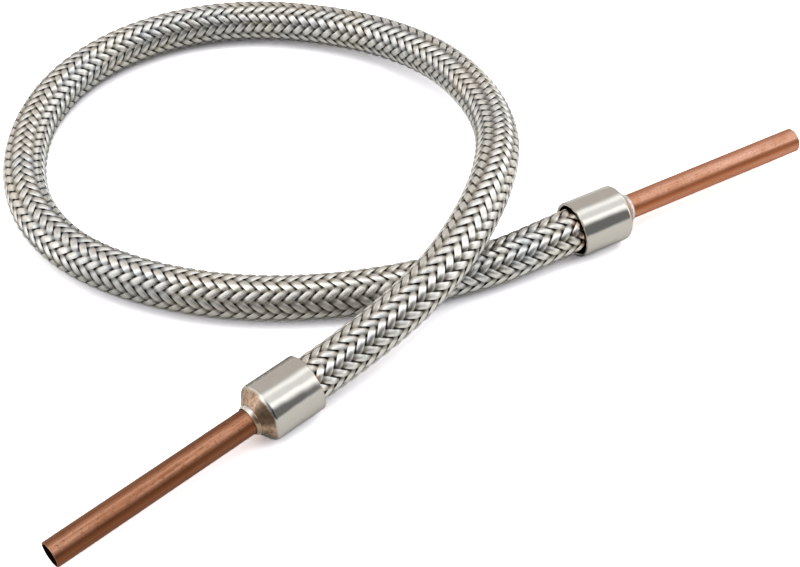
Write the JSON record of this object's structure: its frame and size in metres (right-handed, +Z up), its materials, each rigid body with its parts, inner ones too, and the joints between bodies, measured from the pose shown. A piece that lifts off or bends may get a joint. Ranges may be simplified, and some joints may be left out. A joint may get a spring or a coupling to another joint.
{
  "type": "braided flexible hose",
  "caption": "Metal-braided flexible hose with plated end ferrules and plain copper tube stubs, lying in a loop that crosses over itself.",
  "frame": {"origin": "on the floor, under the centre of the bounding box of the hose as it lies", "axes": "+X from the left stub to the right stub, +Y from the stubs towards the far side of the loop, +Z up"},
  "size_m": [0.3264, 0.2355, 0.0364],
  "materials": {
    "braid_wire": "tinned wire braid, bright on the crowns and dark between the plaits",
    "inner_hose": "dull drawn bronze",
    "copper": "copper, brushed lengthwise and slightly oxidised",
    "nickel_plate": "polished nickel plate",
    "silver_braze": "silver braze, satin and slightly uneven"
  },
  "bodies": {
    "root": {"braid": "braid_wire", "corrugated_hose": "inner_hose", "left_copper_stub": "copper", "left_ferrule": "nickel_plate", "left_stub_braze": "silver_braze", "left_hose_braze": "silver_braze", "right_copper_stub": "copper", "right_ferrule": "nickel_plate", "right_stub_braze": "silver_braze", "right_hose_braze": "silver_braze"}
  },
  "joints": []
}
